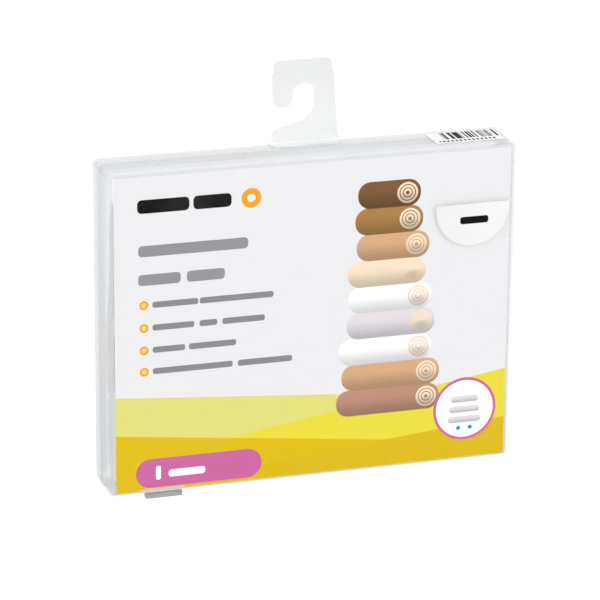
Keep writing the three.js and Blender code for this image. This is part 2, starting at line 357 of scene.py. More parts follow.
def passes_light(tree: Tree, surface: Node, tint: str, share: float = 1.0) -> Socket:
    """Lets light through a thin plastic or paper, so that what lies behind it isn't dark.

    Args:
        tree: Material's tree.
        surface: Shader that the eye sees.
        tint: Colour that light takes on its way through one face.
        share: How much of the light goes through.

    Returns:
        The shader with the light's way through it.
    """
    film = tree.add("ShaderNodeBsdfTransparent", {"Color": linear(tint)})
    rays = tree.add("ShaderNodeLightPath").outputs
    hidden = tree.math("MAXIMUM", rays["Is Shadow Ray"], rays["Is Diffuse Ray"])
    light = tree.math("MULTIPLY", hidden, share)
    return tree.add("ShaderNodeMixShader", {0: light, 1: surface.outputs[0], 2: film.outputs[0]}).outputs[0]


@dataclass(frozen=True)
class ClearFace(Finish):
    """Polished clear plastic of the box's broad front and back faces."""

    glaze: str = "FEFEFE"
    smooth: float = 0.03
    worn: float = 0.09
    refraction: float = 1.12
    light_tint: str = "FCFCFC"
    marks: float = 0.08

    def make(self) -> Material:
        """Builds the material and returns it."""
        material, tree, output, place = self._open("clear_plastic_face")
        scuffs = tree.group(self.effects.scuffs, {"Vector": place, "Smooth": self.smooth, "Worn": self.worn})
        plastic = tree.add(
            "ShaderNodeBsdfPrincipled",
            {
                "Base Color": linear(self.glaze),
                "Roughness": scuffs.outputs["Roughness"],
                "IOR": self.refraction,
                "Transmission Weight": 1.0,
                "Normal": tree.bump(scuffs.outputs["Height"], self.marks, MARKS_DEPTH),
            },
        )
        tree.join(passes_light(tree, plastic, self.light_tint), output.inputs["Surface"])
        return material


@dataclass(frozen=True)
class FrostedWall(Finish):
    """Satin see-through plastic of the side walls and the faces' rims; painted shade darkens the walls
    towards the bottom and the thumb tab to grey, and painted light brightens the bottom rim.
    """

    tint: str = "CCCED0"
    # painted shade: the walls turn to this darker tint towards the bottom
    painted_shading_low_tint: str = "B9BBBE"
    tray_tint: str = "CED0D2"
    edge_tint: str = "C8CACD"
    # painted light: the bottom rim's pale tint stands in for light caught there
    painted_light_foot_tint: str = "E8E9EA"
    # painted shade: the thumb tab's dark grey stands in for the shade on it
    painted_shade_tab_tint: str = "75797F"
    smooth: float = 0.24
    worn: float = 0.4
    edge_rough: float = 0.55
    cover: float = 0.78
    edge_cover: float = 0.6
    # opacity of the bottom rim, where the painted light shows
    foot_cover: float = 0.95
    tab_cover: float = 0.85
    edge_width: float = 0.9 * MM
    foot_height: float = 1.8 * MM
    rim_depth: float = 0.2 * MM
    tab_start: float = 0.1 * MM
    tab_full: float = 0.5 * MM
    blur: float = 0.3 * MM
    light_tint: str = "FAFBFB"
    marks: float = 0.04

    def make(self) -> Material:
        """Builds the material.

        Returns:
            The material, which finds the box's edges, rims, foot and tab by their place, with painted light
            on the foot and painted shade on the tab.
        """
        material, tree, output, place = self._open("clear_plastic_wall")
        low, high = shell_box()
        middle = (low + high) / 2
        apart = tree.vector("ABSOLUTE", tree.vector("SUBTRACT", place, middle))
        inset = tree.vector("SUBTRACT", apart, (high - low) / 2)
        parts = tree.parts(inset)
        upright = tree.math("MAXIMUM", parts["X"], parts["Z"])
        nearest = tree.math("MINIMUM", upright, parts["Y"])
        corner = tree.ramp(nearest, -self.edge_width, -0.5 * self.edge_width)
        rim = tree.ramp(parts["Y"], -self.rim_depth, -0.5 * self.rim_depth)
        edge = tree.math("MAXIMUM", corner, rim)
        spot = tree.parts(place)
        low_down = tree.ramp(spot["Z"], self.foot_height + self.blur, self.foot_height)
        foot = tree.math("MULTIPLY", rim, low_down)
        tab = tree.ramp(spot["Y"], low.y - self.tab_start, low.y - self.tab_full)
        scuffs = tree.group(self.effects.scuffs, {"Vector": place, "Smooth": self.smooth, "Worn": self.worn})
        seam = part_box("lid")[1].y + 0.5 * self.blur
        on_tray = tree.math("GREATER_THAN", spot["Y"], seam)
        upper = tree.mix(on_tray, linear(self.tint), linear(self.tray_tint))
        # painted shade: the wall colour darkens towards the bottom
        plain = tree.mix(tree.ramp(spot["Z"], low.z, high.z), linear(self.painted_shading_low_tint), upper)
        # painted light: the bottom rim takes a pale tint
        wall = tree.mix(foot, tree.mix(edge, plain, linear(self.edge_tint)), linear(self.painted_light_foot_tint))
        # painted shade: the thumb tab takes a dark grey
        colour = tree.mix(tab, wall, linear(self.painted_shade_tab_tint))
        wall_cover = tree.ramp(edge, 0.0, 1.0, self.cover, self.edge_cover)
        low_cover = tree.ramp(foot, 0.0, 1.0, wall_cover, self.foot_cover)
        full_cover = tree.ramp(tab, 0.0, 1.0, low_cover, self.tab_cover)
        facing = tree.math("SUBTRACT", 1.0, tree.add("ShaderNodeNewGeometry").outputs["Backfacing"])
        cover = tree.math("MULTIPLY", full_cover, facing)
        plastic = tree.add(
            "ShaderNodeBsdfPrincipled",
            {
                "Base Color": colour,
                "Roughness": tree.ramp(edge, 0.0, 1.0, scuffs.outputs["Roughness"], self.edge_rough),
                "IOR": PLASTIC_REFRACTION,
                "Alpha": cover,
                "Normal": tree.bump(scuffs.outputs["Height"], self.marks, MARKS_DEPTH),
            },
        )
        tree.join(passes_light(tree, plastic, self.light_tint), output.inputs["Surface"])
        return material


@dataclass(frozen=True)
class MilkyPlastic(Finish):
    """Milky translucent sheet of the hang hook, lighter towards the bottom by painted light."""

    tint: str = "E6E7E7"
    # painted light: the hook's lower part is lighter than its top
    painted_shading_low_tint: str = "FAFBFB"
    smooth: float = 0.28
    worn: float = 0.42
    clearness: float = 0.1
    foot_cover: float = 0.5
    foot_top: float = 1.0 * MM
    blur: float = 0.3 * MM
    marks: float = 0.1

    def make(self) -> Material:
        """Builds the material and returns it."""
        material, tree, output, place = self._open("milky_plastic")
        scuffs = tree.group(self.effects.scuffs, {"Vector": place, "Smooth": self.smooth, "Worn": self.worn})
        low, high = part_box("hang_hook")
        height = tree.parts(place)["Z"]
        # painted light: the hook is lighter towards the bottom
        colour = tree.mix(tree.ramp(height, low.z, high.z), linear(self.painted_shading_low_tint), linear(self.tint))
        foot_top = low.z + self.foot_top
        cover = tree.ramp(height, foot_top, foot_top + self.blur, self.foot_cover, 1.0)
        plastic = tree.add(
            "ShaderNodeBsdfPrincipled",
            {
                "Base Color": colour,
                "Roughness": scuffs.outputs["Roughness"],
                "IOR": PLASTIC_REFRACTION,
                "Alpha": cover,
                "Transmission Weight": self.clearness,
                "Normal": tree.bump(scuffs.outputs["Height"], self.marks, MARKS_DEPTH),
            },
        )
        tree.join(plastic.outputs[0], output.inputs["Surface"])
        return material


class Mark(NamedTuple):
    """A printed round-cornered bar: its middle, size, corner and ink, in millimetres on the card."""

    x: float
    z: float
    width: float
    height: float
    corner: float
    ink: Ink
    rounded: bool = False


def printed(tree: Tree, effects: Effects, place: Socket, mark: Mark) -> Any:
    """Adds the bar of a mark.

    Args:
        tree: Material's tree.
        effects: Shared node groups.
        place: Object coordinates.
        mark: Mark to print.

    Returns:
        The bar's mask and how high in the bar a point is, by name.
    """
    corner = mark.corner * MM
    core = (mark.width / 2 * MM - corner, 0.0, mark.height / 2 * MM - corner)
    centre = (mark.x * MM, 0.0, mark.z * MM)
    inputs = {"Vector": place, "Centre": centre, "Core": core, "Corner": corner}
    return tree.group(effects.bar, inputs).outputs


class Slope(NamedTuple):
    """A printed field under a straight line, by its heights in millimetres at the card's two sides."""

    left: float
    right: float
    ink: Ink


@dataclass(frozen=True)
class PrintedCard(Finish):
    """Coated board with a generic print: bars for words, sloping yellow fields and a stack of rolls."""

    gloss: float = 0.34
    gloss_spread: float = 0.12
    gloss_range: Place = (0.2, 0.8)
    lit_range: Place = (-1.0, 0.5)
    shine: float = 0.06
    relief: float = 0.12
    shaded: float = 0.62
    rear: str = "E9E8E4"
    aged: str = "D9D9DC"
    ageing: float = 0.012
    front_start: float = 0.05 * MM
    front_end: float = 0.12 * MM
    fields: tuple[Slope, ...] = (
        Slope(50.0, 34.0, Ink.PALE_YELLOW),
        Slope(16.0, 46.0, Ink.MID_YELLOW),
        Slope(31.0, 8.0, Ink.DEEP_YELLOW),
        Slope(2.5, 21.0, Ink.DARK_YELLOW),
    )

    @staticmethod
    def title() -> list[Mark]:
        """Dark heading bars with a small orange ring."""
        return [
            Mark(-73.0, 142.6, 25.0, 6.6, 2.2, Ink.BLACK),
            Mark(-49.4, 142.6, 18.4, 6.6, 2.2, Ink.BLACK),
            Mark(-30.6, 142.6, 9.6, 9.6, 4.8, Ink.ORANGE),
            Mark(-30.6, 142.6, 4.0, 4.0, 2.0, Ink.BOARD),
        ]

    @staticmethod
    def lines() -> list[Mark]:
        """Two lines of large grey bars and four lines of small ones, each with an orange dot."""
        marks = [
            Mark(-58.6, 121.0, 53.0, 5.4, 1.8, Ink.GREY),
            Mark(-75.0, 107.0, 20.4, 5.4, 1.8, Ink.GREY),
            Mark(-52.6, 107.0, 18.4, 5.4, 1.8, Ink.GREY),
        ]
        words = {
            94.6: ((-67.4, 22.2), (-37.6, 36.0)),
            83.4: ((-68.4, 20.2), (-51.4, 8.6), (-34.2, 20.8)),
            72.4: ((-70.6, 15.8), (-49.4, 23.0)),
            61.8: ((-59.0, 39.0), (-23.6, 26.8)),
        }
        for height, row in words.items():
            marks.append(Mark(-82.6, height, 4.4, 4.4, 2.2, Ink.ORANGE))
            marks.append(Mark(-82.6, height, 2.4, 2.4, 1.2, Ink.PALE_YELLOW))
            marks += [Mark(x, height, width, 3.0, 1.1, Ink.SMALL_GREY) for x, width in row]
        return marks

    @staticmethod
    def rolls() -> list[Mark]:
        """Stack of rolled cloths, widest below, in the print's brown, cream and white inks."""
        inks = (Ink.ROSE, Ink.TAN, Ink.WHITE, Ink.PEARL, Ink.WHITE, Ink.CREAM, Ink.TAN, Ink.BRONZE, Ink.BROWN)
        middle, foot, rise = 38.0, 29.0, 12.9
        widest, narrower, thick, corner = 52.0, 2.6, 13.2, 6.2
        lean_by, lean_step = 1.6, 2.3
        windings = (10.4, 8.2, 7.2, 5.0, 4.0, 1.8)
        marks = []
        height = foot + thick / 2
        for step, ink in enumerate(inks):
            width = widest - narrower * step
            x = middle + lean_by * math.sin(lean_step * step)
            marks.append(Mark(x, height, width, thick, corner, ink, True))
            end = x + width / 2 - thick / 2
            for turn, across in enumerate(windings):
                winding = ink if turn % 2 else Ink.CREAM
                marks.append(Mark(end, height, across, across, across / 2, winding, True))
            height += rise
        return marks

    @staticmethod
    def tags() -> list[Mark]:
        """Magenta tag with white bars, and a ringed roundel with three plain bars and two dots."""
        marks = [
            Mark(-56.0, 10.6, 62.0, 14.6, 7.3, Ink.MAGENTA),
            Mark(-76.0, 10.6, 2.4, 7.0, 0.8, Ink.WHITE),
            Mark(-62.0, 9.8, 18.0, 3.6, 1.4, Ink.WHITE),
            Mark(77.4, 27.0, 32.0, 32.0, 16.0, Ink.MAGENTA),
            Mark(77.4, 27.0, 29.2, 29.2, 14.6, Ink.WHITE),
        ]
        marks += [
            Mark(77.4, 21.6 + 5.2 * row, 17.0 - 1.5 * row, 3.2, 1.6, Ink.PEARL, True)
            for row in range(3)
        ]
        marks += [Mark(74.4 + 6.0 * side, 17.2, 2.2, 2.2, 1.1, Ink.SKY_BLUE) for side in (0, 1)]
        return marks

    def make(self) -> Material:
        """Builds the material.

        Returns:
            The material, printed on the front face of the card's own box.
        """
        material, tree, output, place = self._open("printed_card")
        low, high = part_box("card_insert")
        grain = tree.group(self.effects.grain, {"Vector": place})
        across = tree.parts(place)
        print_colour: Any = Ink.BOARD.colour
        for field in self.fields:
            line = tree.add(
                "ShaderNodeMapRange",
                {"Value": across["X"], "From Min": low.x, "From Max": high.x,
                 "To Min": field.left * MM, "To Max": field.right * MM},
            ).outputs["Result"]
            over = tree.math("SUBTRACT", across["Z"], line)
            under = tree.ramp(over, -PRINT_EDGE, PRINT_EDGE, 1.0, 0.0)
            print_colour = tree.mix(under, print_colour, field.ink.colour)
        for mark in self.title() + self.lines() + self.rolls() + self.tags():
            bar = printed(tree, self.effects, place, mark)
            ink: Any = mark.ink.colour
            if mark.rounded:
                shade = tuple(self.shaded * part for part in mark.ink.colour[:3]) + (1.0,)
                lit = tree.ramp(bar["Across"], *self.lit_range)
                ink = tree.mix(lit, shade, mark.ink.colour)
            print_colour = tree.mix(bar["Mask"], print_colour, ink)
        front = tree.ramp(across["Y"], low.y + self.front_start, low.y + self.front_end, 1.0, 0.0)
        faced = tree.mix(front, linear(self.rear), print_colour)
        tone = tree.ramp(grain.outputs["Tone"], *NOISE_RANGE, 0.0, self.ageing)
        height = grain.outputs["Height"]
        board = tree.add(
            "ShaderNodeBsdfPrincipled",
            {
                "Base Color": tree.mix(tone, faced, linear(self.aged)),
                "Roughness": tree.ramp(height, *self.gloss_range, self.gloss, self.gloss + self.gloss_spread),
                "Specular IOR Level": self.shine,
                "Normal": tree.bump(height, self.relief, FIBRE_DEPTH),
            },
        )
        tree.join(board.outputs[0], output.inputs["Surface"])
        return material


@dataclass(frozen=True)
class LabelPaper(Finish):
    """White sticker paper with a generic print: one plain bar, or upright bars over a row of ticks."""

    name: str
    marks: tuple[Mark, ...] = ()
    barred: bool = False
    bar_pitch: float = 0.41 * MM
    bar_share: float = 0.56
    bar_inset: tuple[float, float, float, float] = (6.2 * MM, 1.0 * MM, 5.8 * MM, 0.6 * MM)
    tick_pitch: float = 2.1 * MM
    tick_inset: Place = (2.4 * MM, 3.2 * MM)
    tick_rows: Place = (1.5 * MM, 3.9 * MM)
    tick_shares: Place = (0.25, 0.8)
    bar_ink: str = "121214"
    paper: str = "E5E5E4"
    aged: str = "E0E0DF"
    thinness: float = 0.65
    roughness: float = 0.5
    shine: float = 0.1
    relief: float = 0.1

    def make(self) -> Material:
        """Builds the material and returns it."""
        material, tree, output, place = self._open(self.name)
        grain = tree.group(self.effects.grain, {"Vector": place})
        tone = tree.ramp(grain.outputs["Tone"], *NOISE_RANGE)
        colour: Any = tree.mix(tone, linear(self.paper), linear(self.aged))
        for mark in self.marks:
            colour = tree.mix(printed(tree, self.effects, place, mark)["Mask"], colour, mark.ink.colour)
        if self.barred:
            colour = self._bars(tree, place, colour)
        paper = tree.add(
            "ShaderNodeBsdfPrincipled",
            {
                "Base Color": colour,
                "Roughness": self.roughness,
                "Specular IOR Level": self.shine,
                "Normal": tree.bump(grain.outputs["Height"], self.relief, FIBRE_DEPTH),
            },
        )
        tree.join(passes_light(tree, paper, "FFFFFF", self.thinness), output.inputs["Surface"])
        return material

    def _bars(self, tree: Tree, place: Socket, paper: Any) -> Socket:
        """Upright bars of many widths on the rear of the seal label, and small ticks in front of them.

        Args:
            tree: Material's tree.
            place: Object coordinates.
            paper: Colour of the paper.

        Returns:
            The colour with the bars on it.
        """
        low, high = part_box("seal_label")
        along = tree.parts(place)
        step = tree.math("FLOOR", tree.math("DIVIDE", along["X"], self.bar_pitch))
        chance = tree.add("ShaderNodeTexWhiteNoise", {"W": step}, noise_dimensions="1D").outputs["Value"]
        dark = tree.math("LESS_THAN", chance, self.bar_share)
        left, right, front, back = self.bar_inset
        bar_width = self._within(tree, along["X"], low.x + left, high.x - right)
        bar_length = self._within(tree, along["Y"], low.y + front, high.y - back)
        bars = tree.math("MULTIPLY", tree.math("MULTIPLY", dark, bar_width), bar_length)
        pulse = tree.math("FRACT", tree.math("DIVIDE", along["X"], self.tick_pitch))
        marked = self._within(tree, pulse, *self.tick_shares)
        row_width = self._within(tree, along["X"], low.x + self.tick_inset[0], high.x - self.tick_inset[1])
        row_depth = self._within(tree, along["Y"], low.y + self.tick_rows[0], low.y + self.tick_rows[1])
        ticks = tree.math("MULTIPLY", tree.math("MULTIPLY", marked, row_width), row_depth)
        return tree.mix(tree.math("MAXIMUM", bars, ticks), paper, linear(self.bar_ink))

    @staticmethod
    def _within(tree: Tree, value: Socket, start: float, end: float) -> Socket:
        """Mask of the stretch from start to end."""
        past = tree.math("GREATER_THAN", value, start)
        return tree.math("MULTIPLY", past, tree.math("LESS_THAN", value, end))


@dataclass(frozen=True)
class RibKnit(Finish):
    """White elastic rib knit, read from the cloth's own map, which is in metres of flat cloth; painted shade
    darkens the valleys between ribs and loops.
    """

    yarn: str = "F7F6F2"
    # painted shade: colour of the knit's valleys between ribs and loops
    painted_shade_valley: str = "D9D7D2"
    rib_pitch: float = 1.5 * MM
    stitch_pitch: float = 1.1 * MM
    hem_depth: float = 12.0 * MM
    hem_stitch: float = 2.6 * MM
    seam_drops: Place = (1.4 * MM, 4.2 * MM)
    thread_fade: Place = (0.25 * MM, 0.5 * MM)
    dash_range: Place = (-0.3, 0.2)
    shade_range: Place = (0.1, 0.95)
    rib_share: float = 0.62
    loop_share: float = 0.28
    fibre_share: float = 0.16
    fibre_scale: float = 1700.0
    hem_share: float = 0.25
    seam_share: float = 0.5
    loop_lean: float = 0.6
    blur: float = 0.3 * MM
    relief: float = 0.7
    relief_depth: float = 0.4 * MM
    soft_range: Place = (0.82, 0.95)
    sheen: float = 0.35
    sheen_roughness: float = 0.5
    shine: float = 0.25

    def make(self) -> Material:
        """Builds the material and returns it."""
        material, tree, output, place = self._open("white_knit")
        cloth = tree.add("ShaderNodeUVMap", uv_map=CLOTH_MAP).outputs["UV"]
        flat = tree.parts(cloth)
        across = tree.math("MULTIPLY", flat["X"], math.tau / self.rib_pitch)
        rib = tree.math("MULTIPLY_ADD", tree.math("SINE", across), 0.5)
        rib.node.inputs[2].default_value = 0.5
        wale = tree.math("MULTIPLY", tree.math("ABSOLUTE", tree.math("SINE", across)), self.loop_lean)
        along = tree.math("MULTIPLY", flat["Y"], math.tau / self.stitch_pitch)
        loop = tree.math("SINE", tree.math("ADD", along, wale))
        stitches = tree.ramp(loop, -1.0, 1.0)
        fibre = tree.noise(place, self.fibre_scale)
        edge = tree.math("MINIMUM", flat["Y"], tree.math("SUBTRACT", CLOTH_HEIGHT, flat["Y"]))
        hem = tree.ramp(edge, self.hem_depth + self.blur, self.hem_depth - self.blur)
        dash = tree.math("SINE", tree.math("MULTIPLY", flat["X"], math.tau / self.hem_stitch))
        seam = tree.math("MULTIPLY", self._twin_line(tree, edge), tree.ramp(dash, *self.dash_range))
        ribs = tree.math("MULTIPLY", rib, self.rib_share)
        body = tree.math("ADD", ribs, tree.math("MULTIPLY", stitches, self.loop_share))
        height = tree.math("ADD", body, tree.math("MULTIPLY", fibre, self.fibre_share))
        raised = tree.math("ADD", height, tree.math("MULTIPLY", hem, self.hem_share))
        total = tree.math("SUBTRACT", raised, tree.math("MULTIPLY", seam, self.seam_share))
        # painted shade: lower parts of the knit's relief get the darker valley colour
        shade = tree.ramp(height, *self.shade_range)
        knit = tree.add(
            "ShaderNodeBsdfPrincipled",
            {
                "Base Color": tree.mix(shade, linear(self.painted_shade_valley), linear(self.yarn)),
                "Roughness": tree.ramp(fibre, *NOISE_RANGE, *self.soft_range),
                "Specular IOR Level": self.shine,
                "Sheen Weight": self.sheen,
                "Sheen Roughness": self.sheen_roughness,
                "Normal": tree.bump(total, self.relief, self.relief_depth),
            },
        )
        tree.join(knit.outputs[0], output.inputs["Surface"])
        return material

    def _twin_line(self, tree: Tree, edge: Socket) -> Socket:
        """Two sewn lines side by side at the hem's upper edge, as a mask."""
        lines = []
        for drop in self.seam_drops:
            apart = tree.math("ABSOLUTE", tree.math("SUBTRACT", edge, self.hem_depth - drop))
            lines.append(tree.ramp(apart, *self.thread_fade, 1.0, 0.0))
        return tree.math("MAXIMUM", *lines)


def put(shape: bmesh.types.BMesh, name: str, finishes: list[Material]) -> Object:
    """Makes an object of a finished shape.

    Args:
        shape: Mesh under construction, which is freed.
        name: Piece's name.
        finishes: Its materials, in the order of its faces' numbers.

    Returns:
        The object, at the origin and linked to the scene.
    """
    mesh = bpy.data.meshes.new(name)
    for finish in finishes:
        mesh.materials.append(finish)
    shape.to_mesh(mesh)
    shape.free()
    piece = bpy.data.objects.new(name, mesh)
    bpy.context.scene.collection.objects.link(piece)
    return piece


@dataclass
class MouldedPiece:
    """A rigid plastic piece: the frame's solid with its faces joined and its edges eased."""

    node: str
    name: str
    body: Body
    slot: Slot
    ease: float = 0.12 * MM
    ease_steps: int = 2
    crease: float = math.radians(32)
    broad_area: float = 0.01
    outward: float = 0.0
    rim_width: float = 1.8 * MM
    flatness: float = math.radians(0.6)
    facing: float = 0.99

    def build(self, frame: dict[str, Any], finishes: list[Material]) -> Object:
        """Makes the piece in place of its node.

        Args:
            frame: Loaded frame.
            finishes: Material of the piece, or of its broad faces and then of the rest.

        Returns:
            The piece.
        """
        shape = bmesh.new()
        shape.from_mesh(frame["nodes"][self.node].data)
        bmesh.ops.remove_doubles(shape, verts=shape.verts, dist=WELD)
        bmesh.ops.dissolve_limit(
            shape, angle_limit=self.flatness, use_dissolve_boundaries=False,
            verts=shape.verts, edges=shape.edges, delimit={"NORMAL"},
        )
        sharp = [e for e in shape.edges if e.is_manifold and e.calc_face_angle(0.0) > self.crease]
        bmesh.ops.bevel(
            shape, geom=sharp, offset=self.ease, offset_type="OFFSET", segments=self.ease_steps,
            profile=0.5, affect="EDGES", clamp_overlap=True, material=-1,
        )
        bmesh.ops.dissolve_degenerate(shape, dist=WELD, edges=shape.edges)
        shape.normal_update()
        large = [f for f in shape.faces if f.calc_area() > self.broad_area]
        panels = [f for f in large if f.normal.y * self.outward > self.facing]
        bmesh.ops.inset_region(shape, faces=panels, thickness=self.rim_width, depth=0.0, use_even_offset=True)
        for face in shape.faces:
            face.smooth = True
            broad = abs(face.normal.y) > self.facing and face.calc_area() > self.broad_area
            face.material_index = 0 if broad else len(finishes) - 1
        piece = put(shape, self.name, finishes)
        piece.data.set_sharp_from_angle(angle=self.crease)
        weighted = piece.modifiers.new("even_normals", "WEIGHTED_NORMAL")
        weighted.keep_sharp = True
        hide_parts(self.node)
        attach(piece, self.body.value)
        return piece


@dataclass
class LivingHinge:
    """Thin web of clear plastic that joins the two shells along the bottom seam."""

    length: float = 175.0 * MM
    seam: float = 0.3 * MM
    low: float = 0.03 * MM
    high: float = 0.37 * MM
    steps: int = 8

    def build(self, finish: Material) -> Object:
        """Makes the web between the shells.

        Args:
            finish: Plastic of the side walls.

        Returns:
            The piece.
        """
        lid_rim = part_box("lid")[1].y
        tray_rim = lid_rim + self.seam
        shape = bmesh.new()
        bmesh.ops.create_cube(shape, size=1.0)
        bmesh.ops.scale(shape, vec=(self.length, tray_rim - lid_rim, self.high - self.low), verts=shape.verts)
        middle = ((lid_rim + tray_rim) / 2, (self.low + self.high) / 2)
        bmesh.ops.translate(shape, vec=(0.0, middle[0], middle[1]), verts=shape.verts)
        across = [e for e in shape.edges if abs(e.verts[0].co.y - e.verts[1].co.y) > WELD]
        bmesh.ops.subdivide_edges(shape, edges=across, cuts=self.steps, use_grid_fill=True)
        piece = put(shape, "living_hinge", [finish])
        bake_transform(piece)
        return piece


class Level(NamedTuple):
    """Inward dents of the band at a share of its height, as shares of the runs' spacing."""

    height: float
    front_in: float
    back_in: float
    right_in: float


@dataclass
class FoldedBand:
    """Knitted tube, folded double over its height and once across its width, as one sheet of cloth."""

    cloth: float = 1.1 * MM
    ply_half_gap: float = 0.75 * MM
    run_half: float = 1.5 * MM
    inner_fold_inset: float = 9.0 * MM
    run_steps: int = 26
    turn_steps: int = 14
    rise_steps: int = 34
    fold_steps: int = 6
    ripple: float = 0.3 * MM
    slow_wave: Spot = (18.0, 40.0, 1.0)
    sway_wave: Spot = (45.0, 22.0, 60.0)
    fine_wave: Spot = (130.0, 60.0, 60.0)
    sway_share: float = 0.75
    least_sway: float = 0.35
    slump: float = 1.6 * MM
    levels: tuple[Level, ...] = (
        Level(0.0, 0.25, 0.3, 0.2),
        Level(0.12, 0.02, 0.1, 0.05),
        Level(0.3, 0.0, 0.18, 0.0),
        Level(0.43, 0.3, 0.06, 0.16),
        Level(0.5, 0.34, 0.02, 0.12),
        Level(0.58, 0.05, 0.12, 0.03),
        Level(0.67, 0.22, 0.25, 0.1),
        Level(0.8, 0.62, 0.4, 0.3),
        Level(0.92, 0.7, 0.5, 0.42),
        Level(1.0, 0.8, 0.6, 0.5),
    )

    def _level_at(self, share: float) -> Level:
        """Dents at a share of the height, read smoothly between the table's rows."""
        last = len(self.levels) - 1
        above = next((i for i, row in enumerate(self.levels) if row.height >= share and i > 0), last)
        low, high = self.levels[above - 1], self.levels[above]
        part = min(1.0, max(0.0, (share - low.height) / (high.height - low.height)))
        smooth = part * part * (3 - 2 * part)
        return Level(*(a + (b - a) * smooth for a, b in zip(low, high)))

    def _plan(self, level: Level, offset: float) -> list[Place]:
        """Route of the cloth at one level, moved out from its middle line.

        Args:
            level: Dents at that height.
            offset: How far out the ply lies.

        Returns:
            Points round the whole loop, the last one short of the first.
        """
        low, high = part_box("folded_band")
        first = low.y + self.run_half
        spacing = (high.y - low.y - 2 * self.run_half) / 3
        turn = spacing / 2
        left = low.x + self.run_half + turn
        right = high.x - self.run_half - 3 * turn - level.right_in * spacing
        inner = right + 3 * turn - self.inner_fold_inset
        middle = first + 1.5 * spacing
        arcs = (
            (left + level.front_in * spacing, first + turn, turn + offset, 0.5, 1.5),
            (right, middle, 3 * turn + offset, -0.5, 0.5),
            (left + level.back_in * spacing, first + 5 * turn, turn + offset, 0.5, 1.5),
            (inner, middle, turn - offset, 0.5, -0.5),
        )
        turns = []
        for x, y, radius, start, end in arcs:
            parts = [i / self.turn_steps for i in range(self.turn_steps + 1)]
            angles = [math.pi * (start + (end - start) * part) for part in parts]
            turns.append([(x + radius * math.cos(a), y + radius * math.sin(a)) for a in angles])
        plan: list[Place] = []
        for here, after in zip(turns, turns[1:] + turns[:1]):
            (x0, y0), (x1, y1) = here[-1], after[0]
            plan += here
            shares = [i / self.run_steps for i in range(1, self.run_steps)]
            plan += [(x0 + (x1 - x0) * s, y0 + (y1 - y0) * s) for s in shares]
        return plan

    def _rise(self) -> list[tuple[float, float]]:
        """Heights and ply offsets from the outer hem, over the top fold, to the inner hem."""
        low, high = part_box("folded_band")
        crown = high.z - self.cloth / 2 - self.ply_half_gap
        foot = low.z + self.cloth / 4
        climb = [foot + (crown - foot) * i / self.rise_steps for i in range(self.rise_steps + 1)]
        over = [math.pi * i / self.fold_steps for i in range(1, self.fold_steps)]
        outer = [(z, self.ply_half_gap) for z in climb]
        fold = [(crown + self.ply_half_gap * math.sin(a), self.ply_half_gap * math.cos(a)) for a in over]
        return outer + fold + [(z, -self.ply_half_gap) for z in reversed(climb)]

    @staticmethod
    def _wave(place: Spot, scales: Spot, shift: float = 0.0) -> float:
        """Smooth noise at a place whose axes are stretched, the last one shifted too."""
        first, second, third = (part * scale for part, scale in zip(place, scales))
        return noise.noise(Vector((first, second, third + shift)))

    def _settle(self, x: float, y: float, z: float, share: float) -> Vector:
        """Moves a point of the neat fold into soft cloth: a slumped top edge and low ripples."""
        slow = self._wave((x, y, 0.0), self.slow_wave, 3.1)
        drop = self.slump * share**3 * (0.5 + 0.5 * slow)
        sway = self._wave((x, z, y), self.sway_wave)
        fine = self._wave((x, z, y), self.fine_wave, 7.0)
        strength = self.ripple * min(1.0, self.least_sway + share)
        wave = self.sway_share * sway + (1.0 - self.sway_share) * fine
        return Vector((x, y + strength * wave, z - drop))

    def build(self, finish: Material) -> Object:
        """Folds a flat grid of cloth into the band.

        Args:
            finish: Knit material.

        Returns:
            The piece.
        """
        low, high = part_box("folded_band")
        rise = self._rise()
        rows = []
        for z, offset in rise:
            share = (z - low.z) / (high.z - low.z)
            plan = self._plan(self._level_at(share), offset)
            rows.append([self._settle(x, y, z, share) for x, y in plan + plan[:1]])
        shape = bmesh.new()
        cloth_map = shape.loops.layers.uv.new(CLOTH_MAP)
        across, along = len(rows[0]) - 1, len(rows) - 1
        bmesh.ops.create_grid(shape, x_segments=across, y_segments=along, size=0.5, calc_uvs=True)
        for face in shape.faces:
            face.smooth = True
            for loop in face.loops:
                u, v = loop.vert.co.x + 0.5, loop.vert.co.y + 0.5
                loop[cloth_map].uv = (u * CLOTH_WIDTH, v * CLOTH_HEIGHT)
        for vert in shape.verts:
            column = round((vert.co.x + 0.5) * across)
            row = round((vert.co.y + 0.5) * along)
            vert.co = rows[row][column]
        bmesh.ops.remove_doubles(shape, verts=shape.verts, dist=WELD)
        piece = put(shape, "knit_band", [finish])
        wall = piece.modifiers.new("cloth_wall", "SOLIDIFY")
        wall.thickness = self.cloth
        wall.offset = 0.0
        wall.use_even_offset = True
        soft = piece.modifiers.new("soft_form", "SUBSURF")
        soft.levels = 1
        soft.render_levels = 1
        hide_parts("folded_band")
        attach(piece, Body.BOX.value)
        return piece


class Softbox(NamedTuple):
    """A square soft light: its name, middle and side in metres, and watts."""

    name: str
    place: Spot
    side: float
    watts: float


